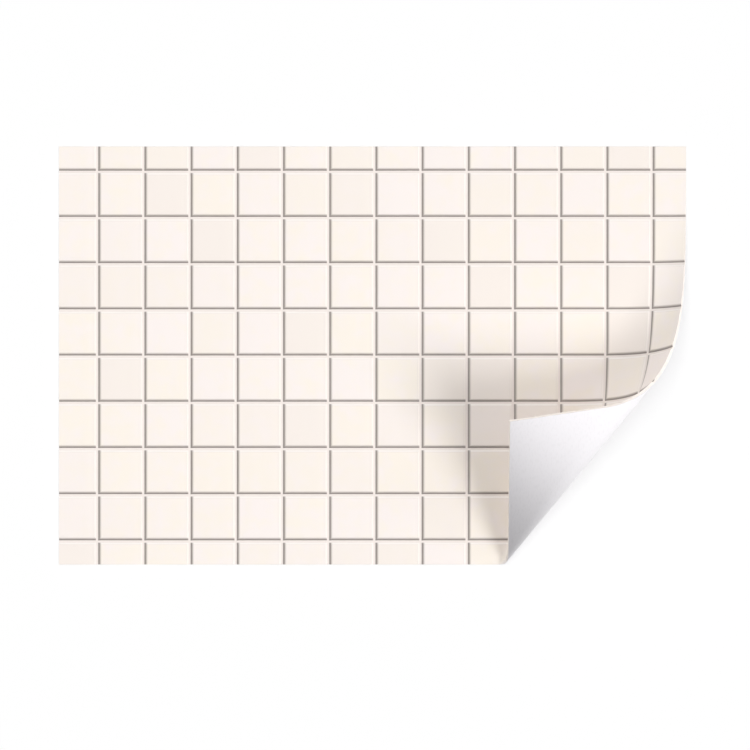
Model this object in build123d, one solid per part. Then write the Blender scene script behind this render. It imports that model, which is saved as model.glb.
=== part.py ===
"""Peel-and-stick backsplash tile: one flexible sheet of square mosaic chips on its release liner.

The sheet lies flat on its liner, and its lower right corner is peeled up and curled over the face.
Frame, in millimetres: the origin is the middle of the sheet on the underside of the liner, +X runs
along the long side, +Y along the short side, and +Z up out of the printed face.

The curl is one that flexible sheet can really take. Left of the lift line the sheet is flat. From
there it winds round a cone, whose apex lies in the bench plane below the lower edge, and past the
cone's last ruling it is flat again, as the flap. Every height over the sheet's back is measured
along its normal, so the film, the chips and the liner are the same thickness all the way round.
"""
from build123d import *
import math
import os

# Sheet outline, and the thickness of each layer.
sheet_length = 457.2
sheet_width = 304.8
liner_thickness = 0.2
film_thickness = 1.2
chip_height = 0.8

# Mosaic: joints from the left edge and from the top edge, so that all edge chips are cut.
chip_pitch = 33.7
first_column_joint = 28.0
first_row_joint = 18.2
joint_floor_width = 1.5
chip_bevel_width = 1.45
# Row joints are a hair shallower, so the two sets of joint floors never share a face.
row_joint_rise = 0.05

# Peeled corner.
lift_below_top_corner = 30.0
apex_from_right_edge = 147.8
apex_below_lower_edge = 18.6
cone_half_angle = 12.3
wrap_angle = 151.0
degrees_per_section = 7.0

# Reach of the cutters past the faces that they cut.
cutter_reach = 0.3
trim_reach = 3.0
overrun_angle = 1.5

tile_thickness = film_thickness + chip_height
right = sheet_length / 2
top = sheet_width / 2
apex_x = right - apex_from_right_edge
apex_y = -top - apex_below_lower_edge

# Angles of rulings in the flat sheet, seen from the apex and measured from +X.
lift_angle = math.degrees(
    math.atan2(sheet_width - lift_below_top_corner + apex_below_lower_edge, apex_from_right_edge)
)
swept_angle = wrap_angle * math.sin(math.radians(cone_half_angle))
flap_angle = lift_angle - swept_angle


def polar(radius, angle, height=0.0):
    """Point at a distance and a direction from the cone's apex, over the liner's top face."""
    turn = math.radians(angle)
    return Vector(
        apex_x + radius * math.cos(turn),
        apex_y + radius * math.sin(turn),
        liner_thickness + height,
    )


def cone_axis():
    """Axis of the cone, pointing so that a positive turn winds the sheet up and over."""
    tilt = math.radians(cone_half_angle)
    turn = math.radians(lift_angle)
    outward = Vector(
        math.cos(tilt) * math.cos(turn),
        math.cos(tilt) * math.sin(turn),
        math.sin(tilt),
    )
    return Axis(polar(0, 0), outward * -1)


def wound(shape, ruling_angle):
    """Carry a shape from a flat-sheet ruling onto the same ruling of the cone."""
    unrolled = lift_angle - ruling_angle
    around = unrolled / math.sin(math.radians(cone_half_angle))
    upright = Axis(polar(0, 0), (0, 0, 1))
    return shape.rotate(upright, unrolled).rotate(cone_axis(), around)


def ruling_section(ruling_angle, corners):
    """Face in the normal plane of one ruling; corners are (radius, height) pairs."""
    points = [polar(radius, ruling_angle, height) for radius, height in corners]
    return wound(Face(Wire.make_polygon(points, close=True)), ruling_angle)


def cone_loft(corners_at, end_angle):
    """Solid that follows the cone from the lift line to a ruling, through planar sections."""
    wrap = (lift_angle - end_angle) / math.sin(math.radians(cone_half_angle))
    steps = max(3, math.ceil(wrap / degrees_per_section))
    sections = []
    for step in range(steps + 1):
        angle = lift_angle + (end_angle - lift_angle) * step / steps
        sections.append(ruling_section(angle, corners_at(angle)))
    return loft(sections)


def lower_edge_radius(angle):
    """Distance from the apex to the sheet's lower edge along a ruling."""
    return apex_below_lower_edge / math.sin(math.radians(angle))


def right_edge_radius(angle):
    """Distance from the apex to the sheet's right edge along a ruling."""
    return apex_from_right_edge / math.cos(math.radians(angle))


def edge_point(angle, radius_at):
    """Point of the flat outline where a ruling crosses it, as an (x, y) pair."""
    point = polar(radius_at(angle), angle)
    return (point.X, point.Y)


def flat_outline():
    """Outline of the sheet that stays flat, left of the lift line."""
    return [
        (-right, -top),
        edge_point(lift_angle, lower_edge_radius),
        edge_point(lift_angle, right_edge_radius),
        (right, top),
        (-right, top),
    ]


def flap_outline():
    """Outline of the corner past the cone's last ruling, where it was before the peel."""
    return [
        edge_point(flap_angle, lower_edge_radius),
        (right, -top),
        edge_point(flap_angle, right_edge_radius),
    ]


def slab(outline, low, high):
    """Flat plate between two heights over the liner."""
    face = make_face(Polyline(*outline, close=True))
    return Pos(0, 0, liner_thickness + low) * extrude(face, high - low)


def curl_shell(low, high):
    """Curled stretch of the sheet between two heights, trimmed to the sheet's edges."""
    inner = lower_edge_radius(lift_angle) - trim_reach
    outer = max(right_edge_radius(lift_angle), right_edge_radius(flap_angle)) + trim_reach
    strip = ruling_section(lift_angle, [(inner, low), (outer, low), (outer, high), (inner, high)])
    shell = revolve(strip, axis=cone_axis(), revolution_arc=wrap_angle)
    under = low - cutter_reach
    over = high + cutter_reach

    def below_lower_edge(angle):
        near = inner - trim_reach / 2
        edge = lower_edge_radius(angle)
        return [(near, under), (edge, under), (edge, over), (near, over)]

    def beyond_right_edge(angle):
        edge = right_edge_radius(angle)
        far = outer + trim_reach
        return [(edge, under), (far, under), (far, over), (edge, over)]

    shell -= cone_loft(below_lower_edge, flap_angle)
    shell -= cone_loft(beyond_right_edge, flap_angle)
    return shell


def joint_profile(rise=0.0):
    """Half widths and heights of a joint's section: bevelled sides down to a flat floor."""
    floor = film_thickness + rise
    lip = tile_thickness + cutter_reach
    slope = chip_bevel_width / chip_height
    floor_half = joint_floor_width / 2 + rise * slope
    lip_half = joint_floor_width / 2 + chip_bevel_width + cutter_reach * slope
    return floor, lip, floor_half, lip_half


def column_joints():
    """Places of the joints that run along Y."""
    count = int((sheet_length - first_column_joint) // chip_pitch) + 1
    return [-right + first_column_joint + chip_pitch * i for i in range(count)]


def row_joints():
    """Places of the joints that run along X, from the top edge down."""
    count = int((sheet_width - first_row_joint) // chip_pitch) + 1
    return [top - first_row_joint - chip_pitch * i for i in range(count)]


def straight_joint(place, rise, along_y):
    """Cutter for one joint of the flat sheet, longer than the sheet."""
    floor, lip, floor_half, lip_half = joint_profile(rise)
    base = liner_thickness
    section = make_face(
        Polyline(
            (-floor_half, base + floor),
            (floor_half, base + floor),
            (lip_half, base + lip),
            (-lip_half, base + lip),
            close=True,
        )
    )
    cutter = extrude(Plane.XZ * section, sheet_length, both=True)
    if along_y:
        return Pos(place, 0, 0) * cutter
    return Pos(0, place, 0) * Rot(0, 0, 90) * cutter


def cut_straight_joints(plate):
    """Cut both sets of joints into a flat plate of the sheet."""
    for place in column_joints():
        plate -= straight_joint(place, 0.0, True)
    for place in row_joints():
        plate -= straight_joint(place, row_joint_rise, False)
    return plate


def curled_column_joint(place):
    """Cutter for the stretch of a column joint that goes round the cone."""
    floor, lip, floor_half, lip_half = joint_profile()
    offset = place - apex_x
    leaves = math.degrees(math.atan2(apex_below_lower_edge, offset + lip_half)) - overrun_angle

    def corners(angle):
        scale = 1 / math.cos(math.radians(angle))
        return [
            ((offset - floor_half) * scale, floor),
            ((offset + floor_half) * scale, floor),
            ((offset + lip_half) * scale, lip),
            ((offset - lip_half) * scale, lip),
        ]

    return cone_loft(corners, max(flap_angle, leaves))


def curled_row_joint(place):
    """Cutter for the stretch of a row joint that goes round the cone."""
    floor, lip, floor_half, lip_half = joint_profile(row_joint_rise)
    offset = place - apex_y
    leaves = math.degrees(math.atan2(offset - lip_half, apex_from_right_edge)) - overrun_angle

    def corners(angle):
        scale = 1 / math.sin(math.radians(angle))
        return [
            ((offset - floor_half) * scale, floor),
            ((offset + floor_half) * scale, floor),
            ((offset + lip_half) * scale, lip),
            ((offset - lip_half) * scale, lip),
        ]

    return cone_loft(corners, max(flap_angle, leaves))


def cut_curled_joints(shell):
    """Cut the joints that cross the curled stretch of the sheet."""
    lift_slope = math.tan(math.radians(lift_angle))
    lip_half = joint_profile()[3]
    for place in column_joints():
        if (place + lip_half - apex_x) * lift_slope > apex_below_lower_edge:
            shell -= curled_column_joint(place)
    for place in row_joints():
        if place - lip_half < top - lift_below_top_corner:
            shell -= curled_row_joint(place)
    return shell


def tile_sheet():
    """Flexible printed sheet: base film and bevelled chips, moulded as one piece."""
    flat = cut_straight_joints(slab(flat_outline(), 0, tile_thickness))
    curl = cut_curled_joints(curl_shell(0, tile_thickness))
    flap = wound(cut_straight_joints(slab(flap_outline(), 0, tile_thickness)), flap_angle)
    return flat + curl + flap


def release_liner():
    """Siliconised paper on the adhesive back, cut flush with the sheet."""
    flat = slab(flat_outline(), -liner_thickness, 0)
    curl = curl_shell(-liner_thickness, 0)
    flap = wound(slab(flap_outline(), -liner_thickness, 0), flap_angle)
    return flat + curl + flap


os.makedirs("parts", exist_ok=True)
export_step(tile_sheet(), "parts/tile_sheet.step")
export_step(release_liner(), "parts/release_liner.step")
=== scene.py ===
"""Looks of a peel-and-stick backsplash tile: a sheet of square mosaic with one corner peeled up.

The sheet and its release liner are meshed in the flat, where their joints and chips are simple, and
every vertex is then wound round the same cone that the solid model's corner is wound round.
"""
import logging
import math
from dataclasses import dataclass, field
from enum import Enum

import bmesh
import bpy
import numpy as np
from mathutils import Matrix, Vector


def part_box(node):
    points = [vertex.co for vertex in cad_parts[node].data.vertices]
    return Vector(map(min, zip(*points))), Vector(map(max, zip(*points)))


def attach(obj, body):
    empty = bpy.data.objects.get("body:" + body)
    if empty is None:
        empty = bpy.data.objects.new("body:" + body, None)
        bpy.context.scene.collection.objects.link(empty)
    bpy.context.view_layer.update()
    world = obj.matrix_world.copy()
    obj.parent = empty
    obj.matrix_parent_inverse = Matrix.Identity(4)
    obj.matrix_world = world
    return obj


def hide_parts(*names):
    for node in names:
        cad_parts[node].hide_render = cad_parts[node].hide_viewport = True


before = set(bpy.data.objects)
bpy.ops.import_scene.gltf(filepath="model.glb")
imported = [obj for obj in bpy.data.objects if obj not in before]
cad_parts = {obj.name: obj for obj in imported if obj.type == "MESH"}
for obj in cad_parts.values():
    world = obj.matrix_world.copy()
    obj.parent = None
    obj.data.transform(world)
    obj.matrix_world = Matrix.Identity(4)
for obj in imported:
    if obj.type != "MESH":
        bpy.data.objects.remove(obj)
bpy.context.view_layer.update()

LOG = logging.getLogger("tile")
MM = 0.001
WHITE = (1.0, 1.0, 1.0, 1.0)
FLAT_LAYER = "Flat"

Colour = tuple[float, float, float]
Span = tuple[float, float]


class Slot(Enum):
    """Material slots of the sheet's mesh."""

    FACE = 0
    CUT_EDGE = 1
    BACK = 2


@dataclass(frozen=True)
class Peel:
    """The peeled corner: flat as far as the lift line, round a cone, then flat again as the flap.

    The flat sheet is described in metres from its middle, and heights are measured from its back
    along the surface's normal. The back lies on the liner, and the cone's apex is level with it.
    """

    length: float
    width: float
    liner_thickness: float = 0.2 * MM
    lift_below_top_corner: float = 30.0 * MM
    apex_from_right_edge: float = 147.8 * MM
    apex_below_lower_edge: float = 18.6 * MM
    cone_half_angle: float = math.radians(12.3)
    wrap_angle: float = math.radians(151.0)

    @property
    def apex(self) -> np.ndarray:
        """Apex of the cone, in the plane of the sheet's back."""
        return np.array(
            [
                self.length / 2 - self.apex_from_right_edge,
                -self.width / 2 - self.apex_below_lower_edge,
                self.liner_thickness,
            ]
        )

    @property
    def lift_angle(self) -> float:
        """Angle of the lift line at the apex, from +X."""
        rise = self.width - self.lift_below_top_corner + self.apex_below_lower_edge
        return math.atan2(rise, self.apex_from_right_edge)

    @property
    def swept_angle(self) -> float:
        """Angle at the apex that the cone takes up in the flat sheet."""
        return self.wrap_angle * math.sin(self.cone_half_angle)

    def wound(self, flat: np.ndarray, height: np.ndarray) -> np.ndarray:
        """Carry points of the flat sheet onto the peeled sheet.

        Args:
            flat: x and y of each point before the peel, one row a point.
            height: height of each point over the sheet's back.

        Returns:
            The x, y and z of each point.
        """
        apex = self.apex
        offset = flat - apex[:2]
        radius = np.hypot(offset[:, 0], offset[:, 1])
        turn = np.arctan2(offset[:, 1], offset[:, 0])
        along, tip = math.cos(self.cone_half_angle), math.sin(self.cone_half_angle)
        start = np.array([math.cos(self.lift_angle), math.sin(self.lift_angle), 0.0])
        across = np.array([start[1], -start[0], 0.0])
        up = np.array([0.0, 0.0, 1.0])
        axis = along * start + tip * up
        spoke = tip * start - along * up
        # Angle past the lift line, and the part of it that the cone takes up.
        unrolled = self.lift_angle - turn
        on_cone = np.clip(unrolled, 0.0, self.swept_angle)
        wrap = (on_cone / tip)[:, None]
        # Each point's ruling on the cone, the direction ahead of it, and the normal there.
        ruling = along * axis + tip * (np.cos(wrap) * spoke + np.sin(wrap) * across)
        ahead = np.cos(wrap) * across - np.sin(wrap) * spoke
        normal = np.cross(ahead, ruling)
        # What the cone doesn't take up turns in the flat, before the lift line or on the flap.
        rest = np.where(unrolled < 0.0, unrolled, unrolled - on_cone)[:, None]
        ruling = np.cos(rest) * ruling + np.sin(rest) * ahead
        return apex + radius[:, None] * ruling + height[:, None] * normal


@dataclass(frozen=True)
class Mosaic:
    """Square chips in columns and rows, with a bevelled joint between each pair.

    The lip radius rounds both ends of a bevel, and is a share of the chip's height.
    """

    pitch: float = 33.7 * MM
    first_column: float = 28.0 * MM
    first_row: float = 18.2 * MM
    film: float = 1.2 * MM
    chip_height: float = 0.8 * MM
    floor_half: float = 0.75 * MM
    bevel: float = 1.45 * MM
    lip_radius: float = 0.16

    def columns(self, peel: Peel) -> np.ndarray:
        """Places of the joints that run along Y, in the flat."""
        count = int((peel.length - self.first_column) // self.pitch) + 1
        return -peel.length / 2 + self.first_column + self.pitch * np.arange(count)

    def rows(self, peel: Peel) -> np.ndarray:
        """Places of the joints that run along X, in the flat, from the top edge down."""
        count = int((peel.width - self.first_row) // self.pitch) + 1
        return peel.width / 2 - self.first_row - self.pitch * np.arange(count)

    def rise(self, place: np.ndarray, joints: np.ndarray) -> np.ndarray:
        """Find how far up the bevel each place is.

        Args:
            place: places along one side of the sheet.
            joints: places of the joints that the side crosses.

        Returns:
            A share for each place, from 0 on a joint's floor to 1 on a chip.
        """
        gap = np.abs(place[:, None] - joints[None, :]).min(axis=1)
        share = (gap - self.floor_half) / self.bevel
        return self.soft_least(self.soft_most(share, 0.0), 1.0)

    def soft_least(self, first: np.ndarray, second: np.ndarray | float) -> np.ndarray:
        """Take the lesser of two shares, rounded where they meet.

        Args:
            first: shares of the bevel.
            second: other shares, or one number for all of them.

        Returns:
            The rounded lesser shares.
        """
        blend = np.clip(0.5 + 0.5 * (second - first) / self.lip_radius, 0.0, 1.0)
        mixed = second * (1.0 - blend) + first * blend
        return mixed - self.lip_radius * blend * (1.0 - blend)

    def soft_most(self, first: np.ndarray, second: float) -> np.ndarray:
        """The greater of two shares, rounded where they meet."""
        return -self.soft_least(-first, -second)

    def height(self, flat: np.ndarray, peel: Peel) -> np.ndarray:
        """Find the height of the printed face.

        Args:
            flat: x and y of each point of the flat sheet.
            peel: the sheet's outline.

        Returns:
            The height of each point over the sheet's back.
        """
        across = self.rise(flat[:, 0], self.columns(peel))
        along = self.rise(flat[:, 1], self.rows(peel))
        return self.film + self.chip_height * self.soft_least(across, along)


@dataclass(frozen=True)
class Ruled:
    """Where a flat sheet gets its mesh lines: close at joints and where it curls tightly.

    Lines closer together than the least gap become one. The offsets of the lines beside a joint are
    in millimetres from its middle. A side with no joints leaves out lines that are closer than the
    plain share of the step there.
    """

    coarse: float = 11.5 * MM
    curl: float = 2.6 * MM
    crease: float = 1.3 * MM
    least_gap: float = 0.02 * MM
    plain_share: float = 0.7
    joint_offsets: tuple[float, ...] = (0.58, 0.75, 0.92, 1.45, 2.0, 2.2, 2.42)

    def step(self, place: float, curl_from: float, crease: Span) -> float:
        """Find the widest gap between lines at a place.

        Args:
            place: the place along the side.
            curl_from: where the curled stretch starts, or an infinity.
            crease: the stretch where the curl is tightest.

        Returns:
            The gap.
        """
        if crease[0] < place < crease[1]:
            return self.crease
        return self.curl if place > curl_from else self.coarse

    def lines(self, low: float, high: float, joints: np.ndarray, curl_from: float,
              crease: Span) -> np.ndarray:
        """Rule one side of the sheet.

        Args:
            low: one end of the side.
            high: the other end.
            joints: places of the joints that the side crosses.
            curl_from: where the curled stretch starts, or an infinity.
            crease: the stretch where the curl is tightest.

        Returns:
            The places of the lines, in order.
        """
        marks = {low, high}
        for joint in joints:
            for offset in self.joint_offsets:
                marks.add(joint - offset * MM)
                marks.add(joint + offset * MM)
        kept = sorted(mark for mark in marks if low <= mark <= high)
        lines = [kept[0]]
        for mark in kept[1:]:
            gap = mark - lines[-1]
            if gap < self.least_gap:
                continue
            step = self.step((mark + lines[-1]) / 2, curl_from, crease)
            count = max(1, math.ceil(gap / step))
            start = lines[-1]
            lines.extend(start + gap * part / count for part in range(1, count + 1))
        return np.array(lines)

    def thinned(self, lines: np.ndarray, curl_from: float, crease: Span) -> np.ndarray:
        """Keep fewer of the same lines, for a side with no joints.

        Args:
            lines: places of the lines, in order.
            curl_from: where the curled stretch starts, or an infinity.
            crease: the stretch where the curl is tightest.

        Returns:
            The places that are kept, the two ends among them.
        """
        kept = [lines[0]]
        for line in lines[1:-1]:
            wanted = self.plain_share * self.step(line, curl_from, crease)
            if line - kept[-1] > wanted and lines[-1] - line > wanted / 2:
                kept.append(line)
        kept.append(lines[-1])
        return np.array(kept)


@dataclass(frozen=True)
class Grid:
    """Crossings of two sets of mesh lines on the flat sheet, numbered row by row."""

    across: np.ndarray
    along: np.ndarray
    first: int = 0

    @property
    def flat(self) -> np.ndarray:
        """Place of every crossing."""
        place_x, place_y = np.meshgrid(self.across, self.along)
        return np.column_stack([place_x.ravel(), place_y.ravel()])

    def number(self, column: int, row: int) -> int:
        """Vertex number of one crossing."""
        return self.first + row * len(self.across) + column

    def quads(self) -> list[tuple[int, int, int, int]]:
        """Every cell, anticlockwise from above."""
        return [
            (self.number(column, row), self.number(column + 1, row),
             self.number(column + 1, row + 1), self.number(column, row + 1))
            for row in range(len(self.along) - 1)
            for column in range(len(self.across) - 1)
        ]

    def rim(self) -> list[tuple[float, int]]:
        """Go round the outline, anticlockwise from the lower left corner and back to it.

        Returns:
            For each crossing, its distance along the outline and its vertex number.
        """
        wide = self.across - self.across[0]
        deep = self.along - self.along[0]
        last_column, last_row = len(self.across) - 1, len(self.along) - 1
        length, width = wide[-1], deep[-1]
        loop = [(wide[column], self.number(column, 0)) for column in range(last_column)]
        loop += [(length + deep[row], self.number(last_column, row)) for row in range(last_row)]
        loop += [(2 * length + width - wide[column], self.number(column, last_row))
                 for column in range(last_column, 0, -1)]
        loop += [(2 * length + 2 * width - deep[row], self.number(0, row))
                 for row in range(last_row, 0, -1)]
        loop.append((2 * length + 2 * width, self.number(0, 0)))
        return loop


def split_mitres(quads: list[tuple[int, ...]], height: np.ndarray,
                 slack: float = 0.02 * MM) -> list[tuple[int, ...]]:
    """Split the quads that a mitre crosses, so that its ridge or valley stays sharp.

    Args:
        quads: cells of the upper grid.
        height: height of each of its vertices.
        slack: how far from flat a cell may be and stay whole.

    Returns:
        Triangles for the cells on a mitre, and the other cells as they were.
    """
    faces: list[tuple[int, ...]] = []
    for quad in quads:
        one, two, three, four = (height[number] for number in quad)
        if abs(one + three - two - four) < slack:
            faces.append(quad)
        elif abs(one - three) > abs(two - four):
            faces += [(quad[0], quad[1], quad[2]), (quad[0], quad[2], quad[3])]
        else:
            faces += [(quad[0], quad[1], quad[3]), (quad[1], quad[2], quad[3])]
    return faces


def cut_faces(upper: Grid, lower: Grid, slack: float = 0.0001 * MM) -> list[tuple[int, ...]]:
    """Face the cut edge, with one face for each stretch between two vertices of the lower rim.

    Args:
        upper: grid of the printed side, with all of the lower grid's lines and more.
        lower: grid of the back.
        slack: how far apart two vertices of the rims may be and still be one above the other.

    Returns:
        The faces, looking outwards.
    """
    above, below = upper.rim(), lower.rim()
    faces = []
    for (start, here), (stop, after) in zip(below, below[1:]):
        chain = [number for place, number in above if start - slack < place < stop + slack]
        faces.append((here, after, *reversed(chain)))
    return faces


def plate_mesh(name: str, upper: Grid, lower: Grid, points: np.ndarray,
               height: np.ndarray) -> bpy.types.Mesh:
    """Close the mesh between two wound grids.

    Args:
        name: name of the mesh.
        upper: grid of the side that looks up before the peel.
        lower: grid of the other side, with some of the upper grid's lines.
        points: wound places of the upper grid's vertices, then of the lower grid's.
        height: heights of the upper grid's vertices over the sheet's back.

    Returns:
        The mesh, with its flat places as a UV layer and a material number for each face.
    """
    face = split_mitres(upper.quads(), height)
    back = [quad[::-1] for quad in lower.quads()]
    cut = cut_faces(upper, lower)
    mesh = bpy.data.meshes.new(name)
    mesh.from_pydata(points.tolist(), [], face + cut + back)
    slots = np.repeat([Slot.FACE.value, Slot.CUT_EDGE.value, Slot.BACK.value],
                      [len(face), len(cut), len(back)])
    mesh.polygons.foreach_set("material_index", slots)
    mesh.polygons.foreach_set("use_smooth", np.ones(len(slots), dtype=bool))
    places = np.vstack([upper.flat, lower.flat])
    corners = np.empty(len(mesh.loops), dtype=np.int64)
    mesh.loops.foreach_get("vertex_index", corners)
    layer = mesh.uv_layers.new(name=FLAT_LAYER)
    layer.data.foreach_set("uv", places[corners].astype(np.float32).ravel())
    mesh.update()
    sharpen(mesh)
    return mesh


def sharpen(mesh: bpy.types.Mesh, corner: float = math.radians(50.0)) -> None:
    """Keep the cut edge's rims and corners crisp in a mesh that is shaded smooth.

    Args:
        mesh: the mesh.
        corner: how far two faces turn at an edge that stays crisp, at least.
    """
    editor = bmesh.new()
    editor.from_mesh(mesh)
    for edge in editor.edges:
        numbers = {one.material_index for one in edge.link_faces}
        if len(numbers) > 1 or edge.calc_face_angle(0.0) > corner:
            edge.smooth = False
    editor.to_mesh(mesh)
    editor.free()


def opaque(colour: Colour) -> tuple[float, float, float, float]:
    """Colour with nothing showing through it."""
    return (*colour, 1.0)


class Wiring:
    """Short ways to add and join the nodes of one node tree.

    The Mix node's colour sockets go by number, because its other sockets have the same names.
    """

    COLUMN_WIDTH = 180
    ROW_HEIGHT = 220
    COLUMNS = 9
    FIRST_COLOUR = 6
    SECOND_COLOUR = 7
    MIXED_COLOUR = 2

    def __init__(self, tree: bpy.types.NodeTree) -> None:
        """Start with a tree to add to."""
        self.tree = tree
        self.count = 0

    def add(self, kind: str, **settings: object) -> bpy.types.Node:
        """Add a node, to the right of the last one or at the start of a new row.

        Args:
            kind: Blender's name for its kind.
            settings: values of its properties.

        Returns:
            The node.
        """
        node = self.tree.nodes.new(kind)
        row, column = divmod(self.count, self.COLUMNS)
        node.location = (self.COLUMN_WIDTH * column, -self.ROW_HEIGHT * row)
        self.count += 1
        for name, value in settings.items():
            setattr(node, name, value)
        return node

    def feed(self, socket: bpy.types.NodeSocket, value: object) -> None:
        """Give a socket its value.

        Args:
            socket: the input.
            value: another node's output, or a plain value.
        """
        if isinstance(value, bpy.types.NodeSocket):
            self.tree.links.new(value, socket)
        else:
            socket.default_value = value

    def math(self, operation: str, *values: object, clamp: bool = False) -> bpy.types.NodeSocket:
        """Add a Math node.

        Args:
            operation: Blender's name for what the node does.
            values: its inputs, in order.
            clamp: whether the result stays between 0 and 1.

        Returns:
            Its result.
        """
        node = self.add("ShaderNodeMath", operation=operation, use_clamp=clamp)
        for socket, value in zip(node.inputs, values):
            self.feed(socket, value)
        return node.outputs[0]

    def ramp(self, value: object, start: object, end: object) -> bpy.types.NodeSocket:
        """Add a smooth step.

        Args:
            value: what it depends on.
            start: the value at which it is 0.
            end: the value at which it is 1.

        Returns:
            Its height, from 0 to 1.
        """
        node = self.add("ShaderNodeMapRange", interpolation_type="SMOOTHSTEP")
        self.feed(node.inputs["Value"], value)
        self.feed(node.inputs["From Min"], start)
        self.feed(node.inputs["From Max"], end)
        return node.outputs["Result"]

    def pulse(self, value: object, rise: Span, fall: Span) -> bpy.types.NodeSocket:
        """Add a smooth step up and another one down.

        Args:
            value: what they depend on.
            rise: the values between which it goes up.
            fall: the values between which it comes down.

        Returns:
            1 between the steps, and 0 outside them.
        """
        up = self.ramp(value, *rise)
        down = self.ramp(value, *fall)
        return self.math("SUBTRACT", up, down, clamp=True)

    def between(self, share: object, ends: Span) -> bpy.types.NodeSocket:
        """Stretch a share onto a range.

        Args:
            share: from 0 to 1.
            ends: the results for 0 and for 1.

        Returns:
            The result.
        """
        node = self.add("ShaderNodeMapRange")
        self.feed(node.inputs["Value"], share)
        self.feed(node.inputs["To Min"], ends[0])
        self.feed(node.inputs["To Max"], ends[1])
        return node.outputs["Result"]

    def mix(self, share: object, first: object, second: object) -> bpy.types.NodeSocket:
        """Mix two colours.

        Args:
            share: how much there is of the second one.
            first: the colour at 0.
            second: the colour at 1.

        Returns:
            The mixed colour.
        """
        node = self.add("ShaderNodeMix", data_type="RGBA")
        self.feed(node.inputs["Factor"], share)
        self.feed(node.inputs[self.FIRST_COLOUR], first)
        self.feed(node.inputs[self.SECOND_COLOUR], second)
        return node.outputs[self.MIXED_COLOUR]

    def noise(self, place: bpy.types.NodeSocket, scale: float, detail: float = 2.0,
              flat: bool = True) -> bpy.types.NodeSocket:
        """Add smooth noise.

        Args:
            place: the coordinates that it follows.
            scale: how often it varies in a unit of them.
            detail: how many finer layers it has.
            flat: whether it follows two of the coordinates, or all three.

        Returns:
            Its value, from 0 to 1.
        """
        node = self.add("ShaderNodeTexNoise", noise_dimensions="2D" if flat else "3D")
        self.feed(node.inputs["Vector"], place)
        self.feed(node.inputs["Scale"], scale)
        self.feed(node.inputs["Detail"], detail)
        return node.outputs[0]

    def bump(self, height: bpy.types.NodeSocket, depth: float,
             strength: float) -> bpy.types.NodeSocket:
        """Add fine relief.

        Args:
            height: its height, from 0 to 1.
            depth: what a height of 1 is, in metres.
            strength: how strongly it shows.

        Returns:
            The normal.
        """
        node = self.add("ShaderNodeBump")
        self.feed(node.inputs["Distance"], depth)
        self.feed(node.inputs["Strength"], strength)
        self.feed(node.inputs["Height"], height)
        return node.outputs[0]

    def seen(self) -> bpy.types.NodeSocket:
        """Tell apart the rays that show the background, whether direct, mirrored or refracted.

        Returns:
            1 for those rays, and 0 for the rays that light the object.
        """
        path = self.add("ShaderNodeLightPath")
        seen = self.math("MAXIMUM", path.outputs["Is Camera Ray"], path.outputs["Is Glossy Ray"])
        return self.math("MAXIMUM", seen, path.outputs["Is Transmission Ray"])


@dataclass(frozen=True)
class Bands:
    """Painted shade and highlight by the joints that run one way: the shaded bevel's band, and how
    strong both are.
    """

    painted_shade_rise: Span
    painted_shade_fall: Span
    painted_shade_share: float
    painted_highlight_share: float


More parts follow.
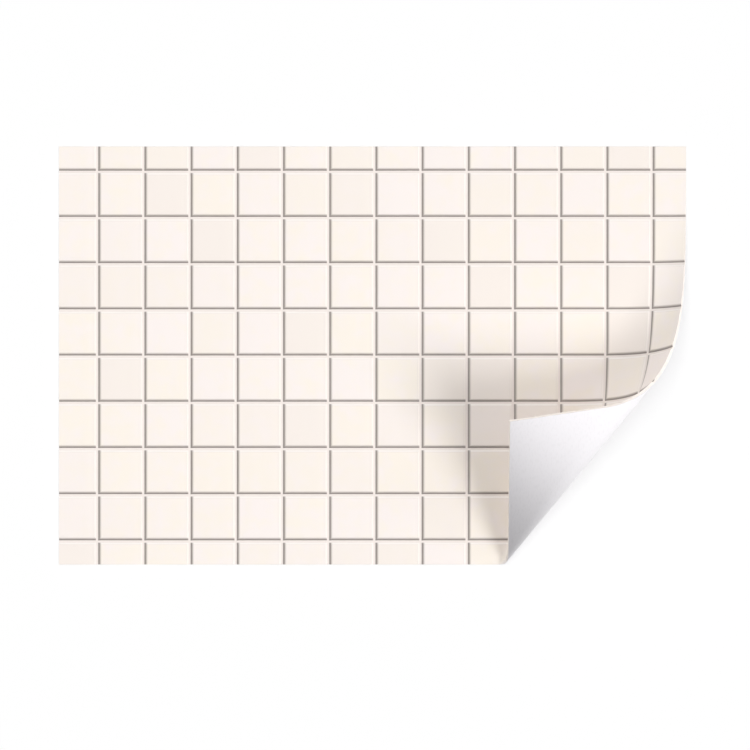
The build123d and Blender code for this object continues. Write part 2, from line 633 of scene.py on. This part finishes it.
@dataclass(frozen=True)
class JointPrintAndPaintedShade:
    """Shares of print, painted shade and painted highlight at each flat place, as a shader node
    group.

    Distances are in millimetres from the middle of the nearest joint, to the right and up.
    """

    # Painted shade on the chips' left bevels and a painted highlight on their right bevels.
    columns: Bands = Bands((0.18, 0.87), (0.89, 3.29), painted_shade_share=0.93, painted_highlight_share=0.25)
    # Painted shade on the chips' lower bevels and a painted highlight on their upper bevels.
    rows: Bands = Bands((0.48, 0.72), (0.74, 3.22), painted_shade_share=1.0, painted_highlight_share=1.0)
    gap_rise: Span = (-1.35, -0.95)
    gap_fall: Span = (0.35, 0.6)
    # Band of the painted highlight on the right and upper bevels.
    painted_highlight_rise: Span = (-2.45, -2.15)
    painted_highlight_fall: Span = (-1.15, -0.85)
    line_rise: Span = (-2.75, -2.5)
    line_fall: Span = (-2.35, -2.15)

    def build(self) -> bpy.types.NodeTree:
        """Make the node group.

        Returns:
            A group that turns a flat place into the shares of painted shade, painted highlight,
            grout and lip line there, and into two random numbers for its chip.
        """
        tree = bpy.data.node_groups.new("joint_print_and_painted_shade", "ShaderNodeTree")
        face = tree.interface
        for name, kind in (("Place", "NodeSocketVector"), ("Pitch", "NodeSocketFloat"),
                           ("First Column", "NodeSocketFloat"), ("First Row", "NodeSocketFloat")):
            face.new_socket(name=name, in_out="INPUT", socket_type=kind)
        # Shade is painted shade and Light is a painted highlight on the bevels.
        for name in ("Shade", "Light", "Grout", "Line", "Chip", "Tint"):
            face.new_socket(name=name, in_out="OUTPUT", socket_type="NodeSocketFloat")
        wire = Wiring(tree)
        given = wire.add("NodeGroupInput")
        result = wire.add("NodeGroupOutput")
        parts = wire.add("ShaderNodeSeparateXYZ")
        wire.feed(parts.inputs[0], given.outputs["Place"])
        pitch = given.outputs["Pitch"]
        half = wire.math("MULTIPLY", pitch, 0.5)
        minus_half = wire.math("MULTIPLY", pitch, -0.5)
        cell = wire.add("ShaderNodeCombineXYZ")
        gaps = []
        for axis, first in enumerate(("First Column", "First Row")):
            offset = wire.math("SUBTRACT", parts.outputs[axis], given.outputs[first])
            gaps.append(wire.math("WRAP", offset, half, minus_half))
            wire.feed(cell.inputs[axis], wire.math("FLOOR", wire.math("DIVIDE", offset, pitch)))
        self.print_joints_and_paint_shade(wire, gaps, result)
        chance = wire.add("ShaderNodeTexWhiteNoise", noise_dimensions="2D")
        wire.feed(chance.inputs["Vector"], cell.outputs[0])
        wire.feed(result.inputs["Chip"], chance.outputs["Value"])
        split = wire.add("ShaderNodeSeparateColor")
        wire.feed(split.inputs[0], chance.outputs["Color"])
        wire.feed(result.inputs["Tint"], split.outputs["Green"])
        return tree

    def print_joints_and_paint_shade(self, wire: Wiring, gaps: list[bpy.types.NodeSocket],
                     result: bpy.types.Node) -> None:
        """Work out the shares of painted shade, painted highlight, grout and lip line, in the
        columns and rows.

        Args:
            wire: wiring of the group.
            gaps: distance from the nearest column joint, and from the nearest row joint.
            result: the group's output, which takes the greater share of each of the four.
        """
        # Shade is painted shade on the left and lower bevels; light is a painted highlight on the
        # right and upper bevels.
        painted_shades, lights, grouts, lips = [], [], [], []
        for (here, other), bands in ((gaps, self.columns), (gaps[::-1], self.rows)):
            clear = wire.math("SUBTRACT", 1.0, wire.pulse(other, self.gap_rise, self.gap_fall))
            shade = wire.math("MULTIPLY", clear, bands.painted_shade_share)
            band = wire.pulse(here, bands.painted_shade_rise, bands.painted_shade_fall)
            painted_shades.append(wire.math("MULTIPLY", shade, band))
            light = wire.math("MULTIPLY", clear, bands.painted_highlight_share)
            band = wire.pulse(here, self.painted_highlight_rise, self.painted_highlight_fall)
            lights.append(wire.math("MULTIPLY", light, band))
            grouts.append(wire.pulse(here, self.gap_rise, self.gap_fall))
            line = wire.pulse(here, self.line_rise, self.line_fall)
            lips.append(wire.math("MULTIPLY", line, clear))
        for name, pair in (("Shade", painted_shades), ("Light", lights), ("Grout", grouts),
                           ("Line", lips)):
            wire.feed(result.inputs[name], wire.math("MAXIMUM", *pair))


def start_finish(name: str, specular: float
                 ) -> tuple[bpy.types.Material, Wiring, bpy.types.Node]:
    """Start a material.

    Args:
        name: its name.
        specular: specular level of its shader.

    Returns:
        The material, the wiring of its nodes, and its shader.
    """
    material = bpy.data.materials.new(name)
    material.use_nodes = True
    shader = material.node_tree.nodes["Principled BSDF"]
    shader.inputs["Specular IOR Level"].default_value = specular
    return material, Wiring(material.node_tree), shader


@dataclass(frozen=True)
class PrintedVinylWithPaintedShade:
    """The face: cream print, with painted shade and a painted highlight on the bevels.

    A warm grey painted shade lies on the left and lower bevels, and a paler painted highlight on
    the right and upper bevels. Each chip's tint lies between rose and straw, and a few are duller.
    Mottling and wear follow the flat sheet in millimetres, and the embossed skin follows the object
    in metres.
    """

    rose: Colour = (0.941, 0.870, 0.838)
    straw: Colour = (0.944, 0.873, 0.788)
    dull: Colour = (0.912, 0.840, 0.785)
    # Painted shade on the left and lower bevels.
    shade: Colour = (0.264, 0.234, 0.216)
    grout: Colour = (0.868, 0.793, 0.752)
    # Painted highlight on the right and upper bevels.
    light: Colour = (0.955, 0.900, 0.860)
    line: Colour = (0.830, 0.760, 0.718)
    line_share: float = 0.55
    dull_power: float = 3.0
    mottle: float = 2.3
    mottle_scale: float = 0.08
    mottle_detail: float = 3.0
    wear_scale: float = 0.12
    roughness: Span = (0.42, 0.54)
    specular: float = 0.12
    skin_scale: float = 900.0
    skin_depth: float = 0.02 * MM
    skin_strength: float = 0.5

    def build(self, mosaic: Mosaic, peel: Peel, joint_print_and_painted_shade: bpy.types.NodeTree
              ) -> bpy.types.Material:
        """Make the material.

        Args:
            mosaic: the chips that the print follows.
            peel: the sheet's outline.
            joint_print_and_painted_shade: the group with the shares of the print and of the painted
                shade and highlight.

        Returns:
            The material of the printed face.
        """
        material, wire, shader = start_finish("printed_vinyl", self.specular)
        place = wire.add("ShaderNodeUVMap", uv_map=FLAT_LAYER)
        grown = wire.add("ShaderNodeVectorMath", operation="SCALE")
        wire.feed(grown.inputs[0], place.outputs[0])
        wire.feed(grown.inputs["Scale"], 1.0 / MM)
        millimetres = grown.outputs[0]
        shares = wire.add("ShaderNodeGroup", node_tree=joint_print_and_painted_shade)
        for name, value in (("Place", millimetres), ("Pitch", mosaic.pitch / MM),
                            ("First Column", mosaic.columns(peel)[0] / MM),
                            ("First Row", mosaic.rows(peel)[0] / MM)):
            wire.feed(shares.inputs[name], value)
        wire.feed(shader.inputs["Base Color"], self.colour(wire, shares, millimetres))
        wear = wire.noise(millimetres, self.wear_scale)
        wire.feed(shader.inputs["Roughness"], wire.between(wear, self.roughness))
        body = wire.add("ShaderNodeTexCoord")
        skin = wire.noise(body.outputs["Object"], self.skin_scale, flat=False)
        wire.feed(shader.inputs["Normal"], wire.bump(skin, self.skin_depth, self.skin_strength))
        return material

    def colour(self, wire: Wiring, shares: bpy.types.Node, place: bpy.types.NodeSocket
               ) -> bpy.types.NodeSocket:
        """Tint the chips, then print the joints and paint shade and a highlight on the bevels.

        Args:
            wire: wiring of the material.
            shares: node of the group with the print's shares.
            place: flat place, in millimetres.

        Returns:
            The colour of the face.
        """
        cloud = wire.noise(place, self.mottle_scale, self.mottle_detail)
        drift = wire.math("MULTIPLY_ADD", cloud, self.mottle, -self.mottle / 2)
        hue = wire.math("ADD", shares.outputs["Chip"], drift, clamp=True)
        colour = wire.mix(hue, opaque(self.rose), opaque(self.straw))
        faded = wire.math("POWER", shares.outputs["Tint"], self.dull_power)
        colour = wire.mix(faded, colour, opaque(self.dull))
        line = wire.math("MULTIPLY", shares.outputs["Line"], self.line_share)
        # The light and shade tones are a painted highlight and painted shade on the bevels.
        for share, tone in ((line, self.line), (shares.outputs["Light"], self.light),
                            (shares.outputs["Grout"], self.grout),
                            (shares.outputs["Shade"], self.shade)):
            colour = wire.mix(share, colour, opaque(tone))
        return colour


@dataclass(frozen=True)
class VinylBody:
    """The unprinted vinyl that shows where the sheet is cut, with faint drag lines of the blade."""

    pale: Colour = (0.960, 0.895, 0.845)
    deep: Colour = (0.930, 0.850, 0.790)
    drag_scale: float = 420.0
    drag_detail: float = 4.0
    drag_rise: Span = (0.35, 0.7)
    roughness: Span = (0.45, 0.65)
    specular: float = 0.25

    def build(self) -> bpy.types.Material:
        """Make the material.

        Returns:
            The material of the cut edge and of the back.
        """
        material, wire, shader = start_finish("vinyl_body", self.specular)
        body = wire.add("ShaderNodeTexCoord")
        drag = wire.noise(body.outputs["Object"], self.drag_scale, self.drag_detail, flat=False)
        share = wire.ramp(drag, *self.drag_rise)
        colour = wire.mix(share, opaque(self.pale), opaque(self.deep))
        wire.feed(shader.inputs["Base Color"], colour)
        wire.feed(shader.inputs["Roughness"], wire.between(drag, self.roughness))
        return material


@dataclass(frozen=True)
class LinerPaper:
    """White paper with a silicone coat: smooth, faintly cool, with a trace of fibre."""

    white: Colour = (0.925, 0.902, 0.928)
    fibre: Colour = (0.890, 0.868, 0.893)
    fibre_stretch: tuple[float, float, float] = (1.0, 3.0, 1.0)
    fibre_scale: float = 260.0
    fibre_detail: float = 5.0
    fibre_rise: Span = (0.45, 0.75)
    fibre_depth: float = 0.03 * MM
    fibre_strength: float = 0.4
    roughness: Span = (0.37, 0.50)
    specular: float = 0.3

    def build(self) -> bpy.types.Material:
        """Make the material.

        Returns:
            The material of the liner.
        """
        material, wire, shader = start_finish("liner_paper", self.specular)
        place = wire.add("ShaderNodeUVMap", uv_map=FLAT_LAYER)
        stretch = wire.add("ShaderNodeVectorMath", operation="MULTIPLY")
        wire.feed(stretch.inputs[0], place.outputs[0])
        wire.feed(stretch.inputs[1], self.fibre_stretch)
        fibres = wire.noise(stretch.outputs[0], self.fibre_scale, self.fibre_detail)
        share = wire.ramp(fibres, *self.fibre_rise)
        colour = wire.mix(share, opaque(self.white), opaque(self.fibre))
        wire.feed(shader.inputs["Base Color"], colour)
        wire.feed(shader.inputs["Roughness"], wire.between(fibres, self.roughness))
        relief = wire.bump(fibres, self.fibre_depth, self.fibre_strength)
        wire.feed(shader.inputs["Normal"], relief)
        return material


@dataclass
class PeeledSheet:
    """The flexible sheet and the liner on its back, both wound at the peeled corner."""

    peel: Peel
    mosaic: Mosaic = field(default_factory=Mosaic)
    ruled: Ruled = field(default_factory=Ruled)
    crease_rows: Span = (-0.1525, -0.118)
    crease_columns: Span = (0.086, 0.135)
    liner_gap: float = 0.01 * MM

    def grids(self) -> tuple[Grid, Grid]:
        """Rule both kinds of side.

        Returns:
            The grid of the printed side, and the coarser grid of the sides with no joints.
        """
        peel, ruled = self.peel, self.ruled
        sides = (
            (peel.length / 2, self.mosaic.columns(peel), peel.apex[0], self.crease_columns),
            (peel.width / 2, self.mosaic.rows(peel), -math.inf, self.crease_rows),
        )
        fine = [ruled.lines(-half, half, joints, curl_from, crease)
                for half, joints, curl_from, crease in sides]
        plain = [ruled.thinned(lines, curl_from, crease)
                 for lines, (_, _, curl_from, crease) in zip(fine, sides)]
        return Grid(*fine), Grid(*plain)

    def piece(self, name: str, upper: Grid, lower: Grid, height: np.ndarray,
              under: float) -> bpy.types.Object:
        """Wind one layer of the sheet.

        Args:
            name: name of the piece.
            upper: grid of its upper side.
            lower: grid of its lower side.
            height: heights of the upper side over the sheet's back.
            under: height of the lower side.

        Returns:
            The piece, not yet in the scene.
        """
        below = Grid(lower.across, lower.along, first=len(height))
        points = np.vstack([
            self.peel.wound(upper.flat, height),
            self.peel.wound(below.flat, np.full(len(below.flat), under)),
        ])
        mesh = plate_mesh(name, upper, below, points, height)
        return bpy.data.objects.new(name, mesh)

    def dress(self) -> list[bpy.types.Object]:
        """Build both pieces, give them their finishes and tie them to the frame.

        Returns:
            The sheet and its liner.
        """
        joint_print_and_painted_shade = JointPrintAndPaintedShade().build()
        # The face's finish holds the print and the painted shade and highlight on the bevels.
        printed = PrintedVinylWithPaintedShade().build(self.mosaic, self.peel, joint_print_and_painted_shade)
        body = VinylBody().build()
        paper = LinerPaper().build()
        fine, plain = self.grids()
        relief = self.mosaic.height(fine.flat, self.peel)
        level = np.full(len(plain.flat), -self.liner_gap)
        tile = self.piece("mosaic_sheet", fine, plain, relief, 0.0)
        liner = self.piece("liner_sheet", plain, plain, level, -self.peel.liner_thickness)
        for piece, node, slot, finishes in (
            (tile, "tile_sheet", "printed_vinyl", (printed, body, body)),
            (liner, "release_liner", "liner_paper", (paper, paper, paper)),
        ):
            bpy.context.scene.collection.objects.link(piece)
            for finish in finishes:
                piece.data.materials.append(finish)
            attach(piece, "root")
            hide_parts(node)
        return [tile, liner]


@dataclass(frozen=True)
class Lamp:
    """A lamp that lights only some objects.

    Its azimuth is anticlockwise from +X and its elevation is over the horizon, both in degrees.
    """

    name: str
    share: float
    azimuth: float
    elevation: float

    def place(self, light: bpy.types.Light, receivers: list[bpy.types.Object]
              ) -> bpy.types.Object:
        """Put the lamp in the scene.

        Args:
            light: its light.
            receivers: what it lights.

        Returns:
            The object that holds the light, turned the right way but not moved yet.
        """
        holder = bpy.data.objects.new(self.name, light)
        tilt = math.radians(90.0 - self.elevation)
        holder.rotation_euler = (0.0, tilt, math.radians(self.azimuth))
        bpy.context.scene.collection.objects.link(holder)
        lit = bpy.data.collections.new(self.name + "_lit")
        for receiver in receivers:
            lit.objects.link(receiver)
        holder.light_linking.receiver_collection = lit
        return holder


@dataclass(frozen=True)
class Sun(Lamp):
    """A distant lamp. Its spread is its angular size, in degrees.

    Its share is what it adds to a white surface that faces up, where 1 is white.
    """

    spread: float

    def hang(self, *receivers: bpy.types.Object) -> None:
        """Add the lamp.

        Args:
            receivers: what it lights.
        """
        light = bpy.data.lights.new(self.name, "SUN")
        light.energy = math.pi * self.share / math.sin(math.radians(self.elevation))
        light.angle = math.radians(self.spread)
        self.place(light, list(receivers))


@dataclass(frozen=True)
class Spot(Lamp):
    """A near lamp whose light is even round its middle and fades towards its rim.

    Its share is what it adds to a white surface square to it, at the target, where 1 is white. Its
    distance is from the target, its reach is the radius of its light there, and its fade is how
    much of that light fades, from 0 for none to 1 for all of it.
    """

    target: tuple[float, float, float]
    distance: float
    reach: float
    fade: float
    bulb_radius: float = 0.04

    def hang(self, *receivers: bpy.types.Object) -> None:
        """Add the lamp.

        Args:
            receivers: what it lights.
        """
        light = bpy.data.lights.new(self.name, "SPOT")
        light.energy = 4.0 * math.pi * math.pi * self.share * self.distance**2
        light.spot_size = 2.0 * math.atan(self.reach / self.distance)
        light.spot_blend = self.fade
        light.shadow_soft_size = self.bulb_radius
        holder = self.place(light, list(receivers))
        back = holder.rotation_euler.to_matrix() @ Vector((0.0, 0.0, self.distance))
        holder.location = Vector(self.target) + back


@dataclass(frozen=True)
class Studio:
    """Floor, lamps and camera. The camera's frame and the sheet's middle in it are in pixels."""

    sky: float = 0.31
    floor_lamp: Sun = Sun("overhead", 0.73, azimuth=0.0, elevation=90.0, spread=70.0)
    sheet_lamps: tuple[Sun, ...] = (
        Sun("fill", 0.303, azimuth=118.0, elevation=45.0, spread=40.0),
        Sun("key", 0.38, azimuth=-30.0, elevation=43.0, spread=28.0),
        Sun("side", 0.058, azimuth=20.0, elevation=36.0, spread=25.0),
    )
    liner_lamp: Spot = Spot("paper", 0.785, azimuth=-65.6, elevation=62.5,
                            target=(0.354, 0.200, 0.064), distance=0.992, reach=0.457, fade=0.444)
    floor_tone: Colour = (0.96, 0.96, 0.96)
    floor_glow: float = 0.45
    floor_radius: float = 9.0
    floor_sides: int = 96
    floor_drop: float = 0.3 * MM
    camera_height: float = 8.0
    camera_sight: float = 50.0
    frame_pixels: int = 750
    metres_a_pixel: float = 0.7295 * MM
    sheet_middle_pixel: tuple[float, float] = (372.5, 355.5)

    def white_world(self) -> None:
        """Even pale light from all round, and plain white behind the object."""
        world = bpy.data.worlds.new("studio")
        bpy.context.scene.world = world
        world.use_nodes = True
        wire = Wiring(world.node_tree)
        back = world.node_tree.nodes["Background"]
        wire.feed(back.inputs["Color"], WHITE)
        wire.feed(back.inputs["Strength"], wire.between(wire.seen(), (self.sky, 1.0)))

    def floor(self) -> bpy.types.Object:
        """Lay a white floor that keeps a light shadow of the object.

        Returns:
            The floor, which is staging and no piece of the part.
        """
        mesh = bpy.data.meshes.new("floor")
        editor = bmesh.new()
        bmesh.ops.create_circle(editor, cap_ends=True, radius=self.floor_radius,
                                segments=self.floor_sides)
        editor.to_mesh(mesh)
        editor.free()
        floor = bpy.data.objects.new("floor", mesh)
        floor.location.z = -self.floor_drop
        bpy.context.scene.collection.objects.link(floor)
        material = bpy.data.materials.new("floor_white")
        material.use_nodes = True
        wire = Wiring(material.node_tree)
        nodes = material.node_tree.nodes
        nodes.remove(nodes["Principled BSDF"])
        matt = wire.add("ShaderNodeBsdfDiffuse")
        wire.feed(matt.inputs["Color"], opaque(self.floor_tone))
        glow = wire.add("ShaderNodeEmission")
        wire.feed(glow.inputs["Color"], WHITE)
        blend = wire.add("ShaderNodeMixShader")
        wire.feed(blend.inputs[0], wire.math("MULTIPLY", wire.seen(), self.floor_glow))
        wire.feed(blend.inputs[1], matt.outputs[0])
        wire.feed(blend.inputs[2], glow.outputs[0])
        wire.feed(nodes["Material Output"].inputs["Surface"], blend.outputs[0])
        mesh.materials.append(material)
        return floor

    def lamps(self, tile: bpy.types.Object, liner: bpy.types.Object,
              floor: bpy.types.Object) -> None:
        """Light the floor from overhead, the sheet from three sides and the liner by itself.

        Args:
            tile: the sheet.
            liner: its liner.
            floor: the floor.
        """
        self.floor_lamp.hang(floor)
        for lamp in self.sheet_lamps:
            lamp.hang(tile)
        self.liner_lamp.hang(liner)

    def camera(self) -> None:
        """Set up a camera straight over the sheet, with a long lens."""
        width = self.frame_pixels * self.metres_a_pixel
        lens = bpy.data.cameras.new("camera")
        lens.lens = lens.sensor_width * self.camera_height / width
        lens.clip_end = self.camera_sight
        holder = bpy.data.objects.new("camera", lens)
        middle = self.frame_pixels / 2
        holder.location = (
            (middle - self.sheet_middle_pixel[0]) * self.metres_a_pixel,
            (self.sheet_middle_pixel[1] - middle) * self.metres_a_pixel,
            self.camera_height,
        )
        bpy.context.scene.collection.objects.link(holder)
        bpy.context.scene.camera = holder


def main() -> None:
    """Build the sheet and the studio round it."""
    logging.basicConfig(level=logging.INFO, format="%(name)s: %(message)s")
    low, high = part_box("tile_sheet")
    peel = Peel(length=high.x - low.x, width=high.y - low.y)
    tile, liner = PeeledSheet(peel).dress()
    for piece in (tile, liner):
        LOG.info("%s: %d faces", piece.name, len(piece.data.polygons))
    studio = Studio()
    studio.white_world()
    floor = studio.floor()
    studio.lamps(tile, liner, floor)
    studio.camera()
    bpy.context.scene.view_settings.view_transform = "Standard"


if __name__ == "__main__":
    main()
